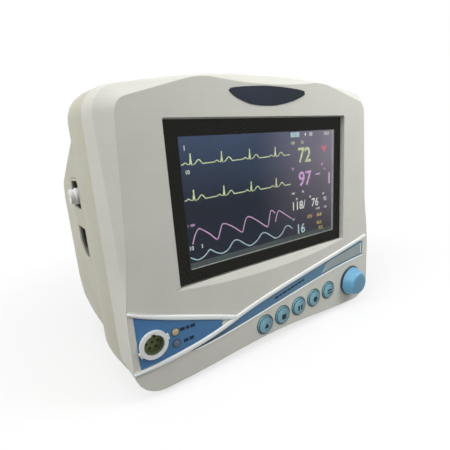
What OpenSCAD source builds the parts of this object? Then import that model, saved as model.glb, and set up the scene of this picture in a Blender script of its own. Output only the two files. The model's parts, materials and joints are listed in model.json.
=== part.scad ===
// Bedside patient monitor: 7 inch display, five keys, push-and-turn knob, ECG socket, side connector bay.
// Millimetres. The front faces -Y, +X is the viewer's right, +Z is up and the feet stand on Z = 0.
// Inside the modules x is across, w the depth behind the front face and v the height over the display centre.

/* [Case] */
// Width over the rear edge of the front shell
case_w = 260; // [250:1:290]
// Height of the case top above the display centre
case_top = 89; // [84:0.5:100]
// Drop from the case top to its top corners
shoulder_drop = 11.5; // [8:0.5:18]
// Drop from the display centre to the lower corners of the front shell
case_drop = 129; // [128:0.5:140]
// Rise of the front shell's lower edge at its middle
arch_rise = 5; // [3:0.5:5.5]
// Drop of the front shell's lower corners below the rear shell
lip_drop = 5; // [4:0.5:6]
// Wall thickness of both shells
wall = 3; // [2.4:0.1:3.4]
// Depth of the front shell, from the face to the parting line
parting_w = 20; // [19:0.5:24]
// Inset of the flat face at its top corners
bevel_top = 15; // [13:0.5:17]
// Inset of the bevel's outer edge at the top corners
bevel_edge = 3.8; // [3:0.1:4.6]
// Depth of the bevel's outer edge along the top
edge_top = 8; // [6:0.5:10]
// Depth of the bevel's outer edge along the bottom
edge_low = 2; // [1:0.5:3]
// Depth of the full-height part of the rear shell, to its rear step
flange_w = 57; // [54:0.5:58]
// Depth from the face to the rear wall
rear_w = 158; // [150:1:170]
// Setback of the rear shell behind the front shell's edge
setback = 0.5; // [0.3:0.1:1]
// Bulge of the rear shell's sides past the front shell
bulge = 4.6; // [3:0.1:5]

/* [Display] */
// Width of the cover glass
glass_w = 174; // [165:0.5:180]
// Height of the cover glass
glass_h = 114; // [108:0.5:118]
// Thickness of the cover glass
glass_t = 1.2; // [1:0.1:1.6]
// Depth of the glass behind the face
glass_recess = 3; // [2:0.1:3.5]
// Thickness of the foam gasket behind the glass
gasket_t = 0.8; // [0.5:0.1:1]
// Glass left and right of the display module
lcd_side = 4.5; // [4:0.1:6]
// Glass above and below the display module
lcd_end = 5; // [4:0.1:6]
// Thickness of the display module
lcd_t = 6; // [5:0.1:7]
// Frame of the display module round its liquid crystal cell
cell_rim = 4; // [3:0.1:5]
// Thickness of the liquid crystal cell
cell_t = 1.2; // [1:0.1:1.6]
// Sag of the scoop under the display
scoop_sag = 7; // [4:0.5:8]

/* [Keys and knob] */
// Diameter of a key cap
key_d = 16; // [14:0.2:16.4]
// Distance from one key to the next
key_pitch = 20; // [19.5:0.1:21]
// Distance from the middle of the key row to the knob, across
key_row_gap = 74.2; // [72:0.2:76]
// Middle of the key row, up
key_row_v = -108.4; // [-110:0.2:-107]
// Rise of the key row, in degrees
key_tilt = 5; // [0:0.5:6]
// Key travel
key_travel = 1; // [0.5:0.1:1]
// Height of a key's rim above the face
key_rim = 1.5; // [1.2:0.1:2.5]
// Height of a key's dome above its rim
key_dome = 1.2; // [0.6:0.1:1.6]
// Distance of the knob axis from the case side
knob_side = 30; // [28:0.5:32]
// Knob axis, up
knob_v = -105; // [-107:0.5:-103]
// Diameter of the knob at its foot
knob_d = 29; // [26:0.5:30]
// Diameter of the knob at its front
knob_front_d = 21.5; // [18:0.5:24]
// Height of the knob above the face
knob_out = 12; // [11.5:0.5:16]
// Push travel of the knob
knob_travel = 0.8; // [0.5:0.1:0.8]
// Number of grip flutes on the knob
knob_flutes = 18; // [12:1:24]
// Diameter of the encoder shaft
shaft_d = 6; // [5:0.1:6]

/* [Front inlays] */
// Depth of the inlay pockets
inlay_t = 0.6; // [0.4:0.1:0.8]
// Half width of the badge plate
badge_half = 36.5; // [30:0.5:40]
// Height of the badge tips
badge_v = 74.5; // [72:0.5:75]
// Distance of the ECG socket axis from the case side
ecg_side = 18.5; // [18:0.5:20]
// ECG socket axis, up
ecg_v = -89.5; // [-91:0.5:-88]
// Outer diameter of the ECG socket collar
ecg_d = 20.4; // [19.6:0.2:21]
// Bore of the ECG socket collar
ecg_bore = 14.6; // [13:0.2:15]
// Height of the ECG socket collar above the face
ecg_out = 2.2; // [1.5:0.1:3]
// Distance of the indicator lamps from the case side
lamp_side = 35; // [34:0.5:36]
// Indicator lamps, up
lamp_v = [-87, -96];
// Diameter of an indicator lamp
lamp_d = 5; // [4:0.2:5.4]

/* [Side bay] */
// Length of the side bay behind the rear step
bay_len = 27.5; // [26.5:0.5:32]
// Top of the side bay
bay_top = 23; // [21:0.5:26]
// Bottom of the side bay
bay_bottom = -40; // [-46:0.5:-39]
// Depth of the side bay
bay_deep = 29; // [26:0.5:30]
// Wall of the bay tub
tub_wall = 2.2; // [1.8:0.1:2.6]
// Outer diameter of the blood-pressure port
port_d = 11; // [9:0.5:11.5]
// Reach of the blood-pressure port outside the case
port_out = 3; // [0:0.5:3]

/* [Base] */
// Height of the front shell's lower corners above the resting plane
foot_h = 3; // [2:0.5:6]
// Diameter of the rubber feet
foot_d = 18; // [14:0.5:20]
// Spacing of the stand inserts, across
stand_x = 176; // [170:1:180]
// Spacing of the stand inserts, front to back
stand_w = 46; // [40:1:50]
// Hole of the stand inserts
stand_hole = 4.2; // [3.2:0.1:4.4]
// Length of the battery pack
battery_l = 132; // [120:1:136]
// Width of the battery pack
battery_w = 46; // [40:1:48]
// Height of the battery pack
battery_h = 27; // [22:1:28]

/* [Clearances] */
// Gap round pieces that drop into a pocket or a hole
fit_gap = 0.3; // [0.2:0.05:0.4]
// Radial gap of the encoder shaft in its bush
run_gap = 0.05; // [0.02:0.01:0.1]

/* [Hidden] */
$fn = 64;

half = case_w / 2;
knob_x = half - knob_side;
key_row_x = knob_x - key_row_gap;
ecg_x = ecg_side - half;
lamp_x = lamp_side - half;
lcd_w = glass_w - 2 * lcd_side;
lcd_h = glass_h - 2 * lcd_end;
cell_w = lcd_w - 2 * cell_rim;
cell_h = lcd_h - 2 * cell_rim;
glass_r = 1.2;
foot_drop = case_drop + foot_h;
stud_out = 8;
face_y = (knob_out - rear_w - stud_out) / 2;
disp_z = foot_drop;
eps = 0.01;

shell_c = "#c9c6bd";
blue_c = "#3f6a97";

lcd_w0 = glass_recess + glass_t + 0.2;
lcd_w1 = lcd_w0 + lcd_t;
bracket_t = 1.2;
board_t = 1.6;
standoff_h = 8.4;
main_w0 = lcd_w1 + bracket_t + standoff_h;
ledge_w = glass_recess + glass_t + gasket_t;
frame_w = ledge_w + 3;
frame_rim = 5;
lug_x = glass_w / 2 + frame_rim + 4.5;
lug_v = glass_h / 2 - 12;
so_x = lcd_w / 2 - 14;
so_v = lcd_h / 2 - 11;

panel_w0 = 11;
panel_w1 = panel_w0 + board_t;
key_flange_w = wall + fit_gap;
key_flange_t = 1;
key_stem_w = key_flange_w + key_flange_t + 2.2;
switch_h = panel_w0 - key_stem_w - key_travel - 0.2;
key_step = key_pitch * [cos(key_tilt), sin(key_tilt)];
keys = [for (i = [-2:2]) [key_row_x, key_row_v] + i * key_step];
panel_posts = [for (p = [[121, -97.5], [84.5, -96], [44.5, -117.5], [19.5, -96]]) [knob_x - p[0], p[1]]];
lamp_posts = [for (v = [-84, -99]) [lamp_x + 9, v]];
recess_d = 1;
bush_d = 9;

case_bosses = [[half - 23, 57], [half - 17, -110]];
boss_d = 9;
well_d = 12;
head_d = 7.6;
shank_d = 3.2;

base_drop = case_drop - lip_drop;
base_v = -base_drop;
floor_v = base_v + wall;
door_l = battery_l + 14;
door_w0 = flange_w + 3;
door_wd = battery_w + 12;
door_t = 1.6;
battery_mid_w = door_w0 + door_wd / 2;
tray_v = base_v + door_t + battery_h + 9;
tray_t = 1.2;
tray_half = half - 26;
tray_w0 = 30;
tray_w1 = 102;
posts = [[half - 38, 36], [half - 38, 98]];
feet_at = [[half - 30, 33], [half - 46, 92]];
power_x = tray_half - 96;
power_posts = [for (i = [6, 84], w = [46, 90]) [power_x + i, w]];

rear_in = rear_w - wall;
inlet_x = 74;
stud_x = 38;
jack_x = 6;
speaker_x = -70;
rear_v = -31;
speaker_d = 40;

side_x = half + bulge;
bay_x = side_x - 0.6;
bay_w0 = flange_w + 1.5;
bay_floor = bay_x - bay_deep;
bay_w1 = bay_w0 + bay_len;
bay_mid = bay_w0 + bay_len / 2;
ledge_top = 0;
ledge_bottom = -15;
port_v = 9;
port_w = bay_mid;
sock_w = bay_mid - 1;
sock_v = (bay_bottom + ledge_bottom) / 2 + 1.5;
port_tail = 9;
tube_turn = 10;
tube_x = -bay_floor + port_tail + tube_turn + 1;
pump_w = port_w - 2 * tube_turn - 2;

// Corner b of the path a, b, c rounded to radius r with n steps
function unit(p) = p / norm(p);
function fillet(a, b, c, r, n) =
  let (
    u = unit(a - b),
    v = unit(c - b),
    h = acos(u * v) / 2,
    o = b + unit(u + v) * r / sin(h),
    p = b + u * r / tan(h) - o,
    q = b + v * r / tan(h) - o,
    a0 = atan2(p[1], p[0]),
    turn = (atan2(q[1], q[0]) - a0 + 540) % 360 - 180
  )
  [for (i = [0:n]) o + r * [cos(a0 + turn * i / n), sin(a0 + turn * i / n)]];
function rounded(p, r, n) =
  [for (i = [0:len(p) - 1]) each fillet(p[(i + len(p) - 1) % len(p)], p[i], p[(i + 1) % len(p)], r[i], n)];
function bezier(a, b, c, d, n) =
  [
    for (i = [0:n])
      let (t = i / n, s = 1 - t)
        s * s * s * a + 3 * s * s * t * b + 3 * s * t * t * c + t * t * t * d
  ];
function reversed(p) = [for (i = [len(p) - 1:-1:0]) p[i]];
function mix(a, b, s) = a + (b - a) * s;
function flip(p) = [-p[0], p[1]];

// Case outline of the flat face (s = 0), the bevel's outer edge (1) or the outer wall (2), moved in by i
side_v = [-74, -62, -52, -42, -32, -20];
side_bow = 0.4;
side_in = [
  bevel_top * [0.22, 0.26, 0.335, 0.43, 0.54, 0.64],
  bevel_edge * [0.8, 0.95, 1.08, 1.16, 1.21, 1.26],
  -side_bow * [0.55, 0.7, 0.82, 0.92, 0.98, 1]
];
function case_outline(s, i = 0, drop = case_drop, corner = 30, rise = arch_rise, straight = false) =
  let (
    low_x = half - [bevel_top * 0.2, bevel_edge * 0.7, 0][s] - i,
    low_v = -drop + [1.5, 0.5, 0][s] + i,
    top_x = half - [bevel_top, bevel_edge, 0][s] - i,
    top_v = case_top - shoulder_drop - [9.5, 2, 0.5][s] - i,
    crown_x = [61, 50, 50][s] - i / 2,
    crown_v = case_top - [6, 1.6, 0.4][s] - i,
    low_r = max(min(corner, [21, 23, 30][s]) - i, 4),
    top_r = max([10, 18, 20][s] - i, 4),
    crown_r = [60, 440, 440][s] - i,
    low = [low_x, low_v],
    top = [top_x, top_v],
    side = straight ? [] : [for (k = [0:5]) [half - side_in[s][k] - i, side_v[k]]],
    over = straight ? top : side[0],
    under = straight ? low : side[5],
    crown = [crown_x, crown_v],
    span = low_x - low_r,
    arch = [for (k = [-4:4]) [k * span / 5, low_v + rise * (1 + cos(36 * k)) / 2]]
  )
  concat(
    fillet(flip(over), flip(low), low, low_r, 6),
    rise > 0 ? arch : [],
    fillet(flip(low), low, over, low_r, 6),
    side,
    fillet(under, top, crown, top_r, 6),
    fillet(top, crown, flip(crown), crown_r, 6),
    fillet(crown, flip(crown), flip(top), crown_r, 6),
    fillet(flip(crown), flip(top), flip(under), top_r, 6),
    reversed([for (p = side) flip(p)])
  );
function box_outline(hw, top, bottom, top_r, low_r) =
  rounded([[-hw, bottom], [hw, bottom], [hw, top], [-hw, top]], [low_r, low_r, top_r, top_r], 8);

// An outline at depth w, and one whose depth also grows with the bevel from the bottom to the top
function at_depth(p, w) = [for (q = p) [q[0], w, q[1]]];
function edge_depth(v) = mix(edge_low, edge_top, min(max((v - side_v[1]) / 122, 0), 1));
function at_edge(p, w) = [for (q = p) [q[0], w + edge_depth(q[1]), q[1]]];

// Solid skinned through outlines of equal length, with end faces that start at the outline's highest point
module loft(rings) {
  m = len(rings[0]);
  k = len(rings);
  heights = [for (p = rings[0]) p[2]];
  peak = search(max(heights), heights)[0];
  polyhedron(
    points = [for (r = rings) each r],
    faces = concat(
      [[for (i = [m:-1:1]) (peak + i) % m], [for (i = [0:m - 1]) (k - 1) * m + (peak + i) % m]],
      [
        for (j = [0:k - 2])
          for (i = [0:m - 1])
            each [
              [j * m + i, j * m + (i + 1) % m, (j + 1) * m + (i + 1) % m],
              [j * m + i, (j + 1) * m + (i + 1) % m, (j + 1) * m + i]
            ]
      ]
    )
  );
}

module place() translate([0, face_y, disp_z]) children();
module slab(w0, w1) translate([0, w1, 0]) rotate([90, 0, 0]) linear_extrude(w1 - w0) children();
module slab_x(x0, x1) translate([x0, 0, 0]) rotate([90, 0, 90]) linear_extrude(x1 - x0) children();
module rod(p, w0, w1, d) translate([p[0], w0, p[1]]) rotate([-90, 0, 0]) cylinder(d = d, h = w1 - w0);
module rod_x(w, v, x0, x1, d) translate([x0, w, v]) rotate([0, 90, 0]) cylinder(d = d, h = x1 - x0);
module rod_v(x, w, v0, v1, d) translate([x, w, v0]) cylinder(d = d, h = v1 - v0);
module block(x0, x1, w0, w1, v0, v1) translate([x0, w0, v0]) cube([x1 - x0, w1 - w0, v1 - v0]);
module plate(sx, sy, r) {
  square([sx - 2 * r, sy], center = true);
  square([sx, sy - 2 * r], center = true);
  for (i = [-1, 1], j = [-1, 1])
    translate([i * (sx / 2 - r), j * (sy / 2 - r)]) circle(r);
}
module sides() {
  children();
  mirror([1, 0, 0]) children();
}
module corners(x, v) for (i = [-1, 1], j = [-1, 1]) translate([i * x, 0, j * v]) children();
module turned(p) translate([p[0], 0, p[1]]) rotate([90, 0, 0]) rotate_extrude() children();

// Curves of the front styling, which widen with the case
function across(p) = [for (q = p) [q[0] * half / 130, q[1]]];
stripe_top = across(bezier([-86, -107], [-45, -100], [40, -76], [119, -66], 24));
stripe_low = across(bezier([-86, -107], [-40, -107], [45, -84], [119, -81], 24));
ridge_main = across(
  concat(
    bezier([-126, -105], [-97, -106], [-65, -101], [-42, -93], 12),
    bezier([-38, -91.8], [0, -81], [70, -71], [122, -60], 14)
  )
);
ridge_side = across(bezier([-125, -61], [-105, -72], [-75, -80], [-44, -92.6], 12));
corner_top = across(bezier([-122.5, -66.5], [-105, -75.5], [-80, -83.5], [-54, -93.5], 12));
corner_low = across(bezier([-54, -93.5], [-75, -99.5], [-95, -102.5], [-122.5, -102.5], 12));
badge_end = [badge_half, badge_v];
badge_tip = [-badge_half, badge_v];
badge_top = bezier(badge_tip, [-12, badge_v + 5.7], [12, badge_v + 5.7], badge_end, 16);
badge_low = bezier(badge_end, [12, badge_v - 12.7], [-12, badge_v - 12.7], badge_tip, 16);
ridge_t = 3.2;
lens_border = 2;

module corner_2d() polygon(concat(corner_top, corner_low));
module stripe_2d() polygon(concat(stripe_top, reversed(stripe_low)));
module badge_2d() polygon(concat(badge_top, badge_low));
module lens_2d(b) {
  ends = [for (i = [18:24]) (i == 18 ? b : 0) - (i == 24 ? b : 0)];
  top = [for (i = [18:24]) stripe_top[i] + [ends[i - 18], -b]];
  low = [for (i = [18:24]) stripe_low[i] + [ends[i - 18], b]];
  polygon(concat(top, reversed(low)));
}
module ridge_2d(line) polygon(concat(line, reversed([for (p = line) p - [0, ridge_t]])));

rear_corner = 21;

module front_outer() loft([
  at_depth(case_outline(0), 0),
  at_edge(case_outline(1), 0),
  at_depth(case_outline(2), parting_w)
]);
function front_cavity(s) = case_outline(s, wall, base_drop, rear_corner, 0);
module front_inner() loft([
  at_depth(front_cavity(0), wall),
  at_edge(front_cavity(1), wall),
  at_depth(front_cavity(2), parting_w + 1)
]);

module front_shell() color(shell_c) place() difference() {
  union() {
    difference() {
      union() {
        front_outer();
        slab(-0.8, 1) ridge_2d(ridge_main);
        slab(-0.8, 1) ridge_2d(ridge_side);
      }
      front_inner();
    }
    slab(wall - 1, frame_w) plate(glass_w + 2 * frame_rim, glass_h + 2 * frame_rim, 6);
    corners(lug_x, lug_v) rod([0, 0], wall - 1, lcd_w1, 8);
    sides() for (p = case_bosses) rod(p, wall - 1, parting_w, boss_d);
    for (p = panel_posts) rod(p, wall - 1, panel_w0, 6);
    for (p = lamp_posts) rod(p, wall - 1, wall + 3, 6);
  }
  slab(-1, ledge_w) plate(glass_w + 2 * fit_gap, glass_h + 2 * fit_gap, glass_r + fit_gap);
  slab(0, frame_w + 1) plate(lcd_w + 2 * fit_gap, lcd_h + 2 * fit_gap, 1.5);
  scoop();
  brow();
  slab(-2, inlay_t) corner_2d();
  slab(-2, inlay_t) stripe_2d();
  slab(-1, inlay_t) badge_2d();
  slab(-1, wall + 5) lens_2d(lens_border - fit_gap);
  rod([ecg_x, ecg_v], -1, wall + 1, ecg_d - 2.4);
  for (v = lamp_v) rod([lamp_x, v], -1, wall + 1, lamp_d + 2 * fit_gap);
  for (p = keys) rod(p, -1, wall + 3, key_d + 2 * fit_gap);
  rod([knob_x, knob_v], -1, recess_d, knob_d + 2);
  rod([knob_x, knob_v], -1, wall + 1, bush_d + 2 * fit_gap);
  corners(lug_x, lug_v) rod([0, 0], wall + 1, lcd_w1 + 1, 3);
  sides() for (p = case_bosses) rod(p, wall + 2, parting_w + 1, shank_d + 2 * fit_gap);
  for (p = panel_posts) rod(p, wall + 1, panel_w0 + 1, 2.6);
  for (p = lamp_posts) rod(p, wall + 1, wall + 4, 2.6);
}

// Shallow conical scoop from the face down to the lower edge of the glass
module scoop() {
  edge = glass_h / 2 + fit_gap;
  chord = glass_w / 2 + 3;
  r = (chord * chord + scoop_sag * scoop_sag) / (2 * scoop_sag);
  intersection() {
    translate([0, 0, r - edge - scoop_sag])
      rotate([-90, 0, 0])
        cylinder(r1 = r, r2 = r - scoop_sag, h = glass_recess, $fn = 200);
    block(-chord, chord, -1, glass_recess, -edge - 2 * scoop_sag, -edge + 1);
  }
}

// Concave facet along the top edge, deepest over the badge
module brow() {
  low = case_top - 9;
  r = 435;
  deep = 9;
  translate([0, -1, low + r - 1])
    rotate([-90, 0, 0])
      cylinder(r1 = r, r2 = r - deep - 1, h = deep + 1, $fn = 200);
}

// Depth, inset and bulge of the full-height part, then depth, half width, top, bottom and radii of the back
flange_steps = [
  [parting_w, 0, 0],
  [38, -1, 2],
  [flange_w - 5, -1.5, 2],
  [flange_w - 2, -0.5, 2],
  [flange_w, 2.5, 2]
];
box_steps = [
  [26, half - 2, 40, base_v + 6, 10, 20],
  [flange_w + 0.8, side_x - 2, 55, base_v, 9, 38],
  [98, side_x - 0.6, 38.5, base_v, 12, 38],
  [124, side_x, 30, base_v, 16, 42],
  [rear_w - 18, side_x - 1, 21, base_v + 10, 20, 40],
  [rear_w - 8, side_x - 4, 13, base_v + 26, 22, 34],
  [rear_w - 2, side_x - 10.6, 6, base_v + 42, 20, 22],
  [rear_w, side_x - 16.6, 1, base_v + 48, 14, 14]
];
function widened(p, b) = [for (q = p) [q[0] * (half + b) / half, q[1]]];
function flange_ring(f, t) =
  let (outline = case_outline(2, setback + f[1] + t, base_drop + setback + f[1], rear_corner, 0, true))
  at_depth(widened(outline, f[2]), f[0] - 0.8 * t);
function box_ring(b, t) = at_depth(
  box_outline(b[1] - t, b[2] - t, b[3] + t, max(b[4] - t, 4), max(b[5] - t, 4)),
  b[0] - (b[0] > 110 ? t : 0)
);

module rear_outer() {
  loft([for (f = flange_steps) flange_ring(f, 0)]);
  loft([for (b = box_steps) box_ring(b, 0)]);
}
module rear_inner() {
  loft([for (f = flange_steps) flange_ring(f, wall)]);
  loft([for (b = box_steps) box_ring(b, wall)]);
}

module rear_shell() color(shell_c) place() difference() {
  union() {
    difference() {
      rear_outer();
      rear_inner();
    }
    intersection() {
      rear_outer();
      union() {
        sides() rod(case_bosses[0], parting_w, flange_w + 2, well_d);
        sides() rod(case_bosses[1], parting_w, rear_w, well_d);
        sides() for (p = posts) rod_v(p[0], p[1], base_v + 1, tray_v, 9);
        sides() for (s = [-1, 1])
          rod_v(stand_x / 2, battery_mid_w + s * stand_w / 2, base_v + 1, floor_v + 8, 11);
      }
    }
  }
  sides() for (p = case_bosses) {
    rod(p, parting_w - 1, flange_w + 2, shank_d + 2 * fit_gap + 0.6);
    rod(p, parting_w + 14, rear_w + 1, head_d + 1);
  }
  sides() for (p = posts) rod_v(p[0], p[1], tray_v - 12, tray_v + 1, 3);
  sides() for (s = [-1, 1]) {
    rod_v(stand_x / 2, battery_mid_w + s * stand_w / 2, base_v - 1, floor_v + 9, 6.6);
    rod_v(stand_x / 2, battery_mid_w + s * stand_w / 2, base_v - 1, base_v + 1, 9);
  }
  sides() for (p = feet_at) rod_v(p[0], p[1], base_v - 1, floor_v + 1, 6);
  block(-door_l / 2, door_l / 2, door_w0, door_w0 + door_wd, base_v - 1, base_v + door_t);
  block(
    -battery_l / 2 - 1, battery_l / 2 + 1,
    battery_mid_w - battery_w / 2 - 1, battery_mid_w + battery_w / 2 + 1,
    base_v - 1, floor_v + 1
  );
  slab_x(-side_x - 1, -bay_floor - 4) bay_2d(0);
  translate([inlet_x, 0, rear_v]) slab(rear_in - 1, rear_w + 1) square([28, 20.6], center = true);
  translate([jack_x, 0, rear_v]) slab(rear_in - 1, rear_w + 1) square([16.6, 14.6], center = true);
  rod([stud_x, rear_v], rear_in - 1, rear_w + 1, 6.6);
  for (i = [-2:2], j = [-2:2])
    rod([speaker_x + 6 * i, rear_v + 6 * j], rear_in - 1, rear_w + 1, 3.2);
  sides() for (i = [0:6]) block(24 + 10 * i, 28 + 10 * i, 66, 96, 30, 60);
}

module window_glass() color("#101113") place()
  slab(glass_recess, glass_recess + glass_t) plate(glass_w, glass_h, glass_r);

module window_gasket() color("#232426") place() slab(glass_recess + glass_t, ledge_w) difference() {
  plate(glass_w - 1, glass_h - 1, glass_r);
  square([lcd_w + 2 * fit_gap + 0.6, lcd_h + 2 * fit_gap + 0.6], center = true);
}

module lcd_panel() color("#28344a") place()
  slab(lcd_w0, lcd_w0 + cell_t) square([cell_w, cell_h], center = true);

module lcd_module() color("#8d9196") place() difference() {
  slab(lcd_w0, lcd_w1) plate(lcd_w, lcd_h, 1.2);
  slab(lcd_w0 - 1, lcd_w0 + cell_t) square([cell_w + 2 * fit_gap, cell_h + 2 * fit_gap], center = true);
  translate([0, 0, lcd_h / 2 - 6]) slab(lcd_w1 - 1, lcd_w1 + 1) square([60, 6], center = true);
}

module lcd_bracket() color("#b4b7ba") place() difference() {
  slab(lcd_w1, lcd_w1 + bracket_t) difference() {
    union() {
      plate(lcd_w, lcd_h, 2);
      for (j = [-1, 1]) translate([0, j * lug_v]) plate(2 * lug_x + 10, 11, 5);
    }
    plate(2 * so_x - 14, 2 * so_v - 14, 3);
    for (i = [-1, 1], j = [-1, 1]) {
      translate([i * lug_x, j * lug_v]) circle(d = 3);
      translate([i * so_x, j * so_v]) circle(d = 3);
    }
  }
}

module screw(w, d, dh, l) {
  rod([0, 0], w - l, w + eps, d);
  difference() {
    rod([0, 0], w, w + 1.8, dh);
    translate([0, w + 1.2, 0]) rotate([0, 45, 0]) {
      block(-1.4, 1.4, 0, 1, -0.3, 0.3);
      block(-0.3, 0.3, 0, 1, -1.4, 1.4);
    }
  }
}

module lcd_screws() color("#8a8d91") place() corners(lug_x, lug_v) screw(lcd_w1 + bracket_t, 2.4, 5.6, 6);

module board_standoffs() color("#c9b46a") place() corners(so_x, so_v) difference() {
  rod([0, 0], lcd_w1 + bracket_t, main_w0, 6, $fn = 6);
  rod([0, 0], lcd_w1 + bracket_t - 1, main_w0 + 1, 3);
}

module main_board() color("#2f6a45") place() difference() {
  union() {
    slab(main_w0, main_w0 + board_t) plate(2 * so_x + 12, 2 * so_v + 12, 2);
    block(-18, 18, main_w0 + 1, main_w0 + 4.4, -16, 20);
    for (i = [-5:5]) block(-16.4 + 3 * (i + 5), -15 + 3 * (i + 5), main_w0 + 4, main_w0 + 10, -14, 18);
    for (i = [0:2]) block(32 + 13 * i, 41 + 13 * i, main_w0 + 1, main_w0 + 3.2, -8, 8);
    block(-62, -34, main_w0 + 1, main_w0 + 3, -12, 16);
    block(-56, -22, main_w0 + 1, main_w0 + 7.5, -37, -31);
    block(12, 52, main_w0 + 1, main_w0 + 7.5, -37, -31);
    for (i = [0:3]) rod([-58 + 10 * i, 29], main_w0 + 1, main_w0 + 9, 6.3);
  }
  corners(so_x, so_v) rod([0, 0], main_w0 - 1, main_w0 + 3, 3);
}

module board_screws() color("#8a8d91") place() corners(so_x, so_v) screw(main_w0 + board_t, 2.4, 5.6, 6);

module badge_plate() color("#2b3548") place() slab(-0.5, inlay_t) offset(delta = -0.15) badge_2d();

module corner_overlay() color(blue_c) place() difference() {
  slab(0, inlay_t) offset(delta = -0.15) corner_2d();
  rod([ecg_x, ecg_v], -1, 2, ecg_d - 2.4);
  for (v = lamp_v) rod([lamp_x, v], -1, 2, lamp_d + 2 * fit_gap);
}

module stripe_overlay() color(blue_c) place() slab(0, inlay_t) difference() {
  offset(delta = -0.15) stripe_2d();
  lens_2d(lens_border - fit_gap);
}

module alarm_lens() color("#aeb4b8") place() slab(-0.2, panel_w0 - 1.5) lens_2d(lens_border);

module panel_board() color("#2f6a45") place() difference() {
  union() {
    slab(panel_w0, panel_w1) {
      translate([knob_x - 59, -106.7]) plate(131, 25.6, 2);
      translate([knob_x - 17, -82]) plate(46, 30, 2);
    }
    for (i = [0:3])
      translate([knob_x - 32 + 12 * i, 0, 1.6 * i - 80]) block(0, 4, panel_w0 - 1.5, panel_w0 + eps, 0, 3);
    block(knob_x - 80, knob_x - 48, panel_w1 - eps, panel_w1 + 6, -118, -112);
  }
  for (p = panel_posts) rod(p, panel_w0 - 1, panel_w1 + 1, 2.6);
}

module panel_screws() color("#8a8d91") place() {
  for (p = panel_posts) translate([p[0], 0, p[1]]) screw(panel_w1, 2, 4.4, 6);
  for (p = lamp_posts) translate([p[0], 0, p[1]]) screw(wall + 3 + board_t, 2, 4.4, 3.6);
}

module key_switches() color("#26282b") place() for (p = keys) difference() {
  translate([p[0], 0, p[1]]) slab(panel_w0 - switch_h, panel_w0) plate(7, 7, 0.8);
  rod(p, panel_w0 - switch_h - 1, panel_w0 - 0.5, 3 + 2 * fit_gap);
}

// Key cap with a domed front, a skirt, two retaining ears and a stem
module key(i) color("#7fb0c4") place() {
  rim = key_d / 2;
  foot = key_flange_w + key_flange_t;
  turned(keys[i]) polygon(
    concat(
      [[0, -key_stem_w], [2.5, -key_stem_w], [2.5, -foot], [rim, -foot]],
      [for (a = [0:15:60]) [rim - 1 + cos(a), key_rim - 1 + sin(a)]],
      bezier(
        [rim - 0.9, key_rim],
        [rim * 0.7, key_rim + key_dome * 0.55],
        [rim * 0.35, key_rim + key_dome],
        [0, key_rim + key_dome],
        8
      )
    )
  );
  translate([keys[i][0], 0, keys[i][1]]) sides() block(rim - 1, rim + 1.4, key_flange_w, foot, -3.5, 3.5);
}
module key_1() key(0);
module key_2() key(1);
module key_3() key(2);
module key_4() key(3);
module key_5() key(4);

module plunger(i) color("#d9d9d4") place() rod(keys[i], key_stem_w, panel_w0 - 0.5 - key_travel - 0.2, 3);
module plunger_1() plunger(0);
module plunger_2() plunger(1);
module plunger_3() plunger(2);
module plunger_4() plunger(3);
module plunger_5() plunger(4);

// Tapered knob with a rounded front, grip flutes and a hollow foot round its hub
module knob() color("#4f93bd") place() difference() {
  turned([knob_x, knob_v]) polygon(
    concat(
      [[shaft_d / 2 + run_gap, 3.4], [5, 3.4], [5, knob_out - 6], [knob_d / 2 - 2.4, knob_out - 8]],
      [[knob_d / 2 - 2, 0.4], [knob_d / 2, 0.4], [knob_d / 2, 1.6]],
      bezier(
        [knob_front_d / 2 + 0.9, knob_out - 3.4],
        [knob_front_d / 2 + 0.4, knob_out - 1.6],
        [knob_front_d / 2 - 0.6, knob_out - 0.6],
        [knob_front_d / 2 - 2.4, knob_out - 0.4],
        6
      ),
      [[4, knob_out], [0, knob_out], [0, knob_out - 4], [shaft_d / 2 + run_gap, knob_out - 4]]
    )
  );
  lean = atan2((knob_d - knob_front_d) / 2, knob_out);
  for (i = [0:knob_flutes - 1])
    translate([knob_x, 0, knob_v])
      rotate([0, i * 360 / knob_flutes, 0])
        translate([knob_d / 2 + 1.1, -2, 0])
          rotate([90, 0, -lean])
            cylinder(d = 2.8, h = knob_out, $fn = 24);
}

module encoder_shaft() color("#b9bcc0") place() difference() {
  rod([knob_x, knob_v], -knob_out + 4, 9, shaft_d);
  block(knob_x - shaft_d, knob_x + shaft_d, -knob_out + 3, -4, knob_v + shaft_d / 2 - 0.9, knob_v + shaft_d);
}

module encoder_push() color("#d9d9d4") place() rod([knob_x, knob_v], 9, 9.6, 5);

module encoder_body() color("#6d7176") place() difference() {
  union() {
    translate([knob_x, 0, knob_v]) slab(wall, panel_w0) plate(14, 13, 1);
    rod([knob_x, knob_v], -2.2, wall + 1, bush_d);
  }
  rod([knob_x, knob_v], -4, 8, shaft_d + 2 * run_gap);
  rod([knob_x, knob_v], 7, 9.8 + knob_travel, 8);
}

module encoder_nut() color("#b9bcc0") place() difference() {
  rod([knob_x, knob_v], recess_d - 2.4, recess_d, 14, $fn = 6);
  rod([knob_x, knob_v], recess_d - 4, recess_d + 1, bush_d + 0.1);
}

module ecg_collar() color("#d9dad6") place() difference() {
  union() {
    rod([ecg_x, ecg_v], -ecg_out, 0, ecg_d);
    rod([ecg_x, ecg_v], -0.5, 10, ecg_d - 2.4 - 2 * fit_gap);
    for (a = [12, 205])
      translate([ecg_x, 0, ecg_v])
        rotate([0, -a, 0])
          block(ecg_d / 2 - 1, ecg_d / 2 + 1.2, -ecg_out + 0.4, 0, -2, 2);
  }
  rod([ecg_x, ecg_v], -4, 11, ecg_bore);
  translate([ecg_x, 0, ecg_v]) block(-1.4, 1.4, -4, 3, ecg_bore / 2 - 1, ecg_bore / 2 + 0.9);
}

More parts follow.
